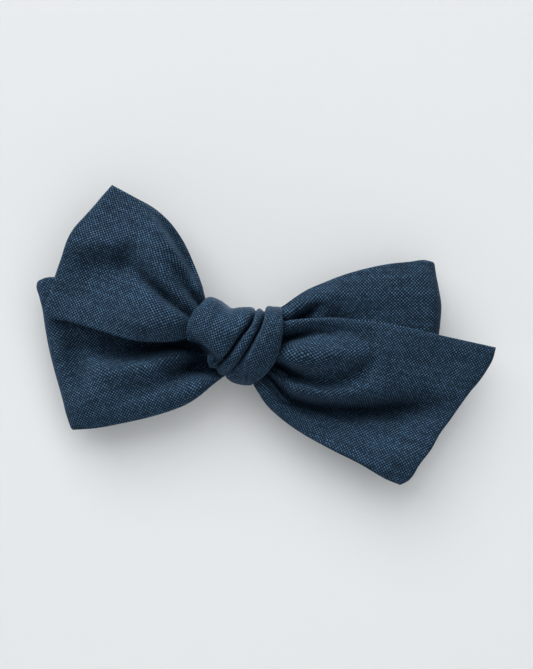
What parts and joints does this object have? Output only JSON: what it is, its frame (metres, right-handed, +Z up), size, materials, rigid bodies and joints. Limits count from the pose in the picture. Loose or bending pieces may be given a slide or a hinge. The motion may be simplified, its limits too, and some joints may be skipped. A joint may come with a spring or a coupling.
{
  "type": "hair bow",
  "caption": "Hand-tied fabric bow with folded loops, pointed free tails and a pleated wrapped knot, glued to a sprung, ribbon-lined steel alligator clip.",
  "frame": {"origin": "middle of the clip's flat head-side face, straight behind the middle of the knot", "axes": "+Z up as worn, +X to the right seen from the front, +Y out of the back towards the head; the bow's front faces -Y"},
  "size_m": [0.1137, 0.0336, 0.0749],
  "materials": {
    "navy_chambray": "plain-weave chambray, dark navy and lighter blue threads, dry matt face",
    "navy_chambray_backing": "the same plain-weave chambray on the sash's other side",
    "navy_thread": "spun sewing thread, slightly lighter than the cloth",
    "nickel_plated_steel": "stamped sheet steel, nickel plated, fine handling scratches",
    "spring_wire": "drawn spring wire",
    "navy_grosgrain": "ribbed grosgrain ribbon",
    "clear_grip_rubber": "frosted ribbed silicone",
    "hot_melt_adhesive": "set hot-melt adhesive, milky and slightly glossy"
  },
  "bodies": {
    "bow": {"knot_wrap": "navy_chambray", "knot_gathered_waist": "navy_chambray", "loop_left_face_cloth": "navy_chambray", "loop_left_backing_cloth": "navy_chambray_backing", "loop_left_seam_thread": "navy_thread", "loop_right_face_cloth": "navy_chambray", "loop_right_backing_cloth": "navy_chambray_backing", "loop_right_seam_thread": "navy_thread", "glue_bead": "hot_melt_adhesive", "clip_ribbon_lining": "navy_grosgrain", "clip_top_arm": "nickel_plated_steel", "clip_pivot_pin": "nickel_plated_steel", "clip_torsion_spring": "spring_wire"},
    "tail_left": {"tail_left_face_cloth": "navy_chambray", "tail_left_backing_cloth": "navy_chambray_backing", "tail_left_seam_thread": "navy_thread"},
    "tail_right": {"tail_right_face_cloth": "navy_chambray", "tail_right_backing_cloth": "navy_chambray_backing", "tail_right_seam_thread": "navy_thread"},
    "clip_jaw": {"clip_bottom_arm": "nickel_plated_steel", "clip_grip_pad": "clear_grip_rubber"}
  },
  "joints": [
    {"name": "jaw_open", "type": "hinge", "parent": "bow", "child": "clip_jaw", "pos_m": [0.012, -0.0036, 0], "axis": [0, 0, -1], "range_deg": [0, 32], "stiffness_Nm_per_rad": 0.015, "springref_deg": -28.65, "deforming": ["clip_torsion_spring"]},
    {"name": "tail_left_flex", "type": "hinge", "parent": "bow", "child": "tail_left", "pos_m": [-0.0092, -0.0198, 0.0032], "axis": [0.5, 0, 0.866], "range_deg": [0, 18], "stiffness_Nm_per_rad": 0.003, "springref_deg": -5.73},
    {"name": "tail_right_flex", "type": "hinge", "parent": "bow", "child": "tail_right", "pos_m": [0.0086, -0.0198, -0.001], "axis": [-0.342, 0, -0.9397], "range_deg": [0, 18], "stiffness_Nm_per_rad": 0.003, "springref_deg": -5.73}
  ]
}
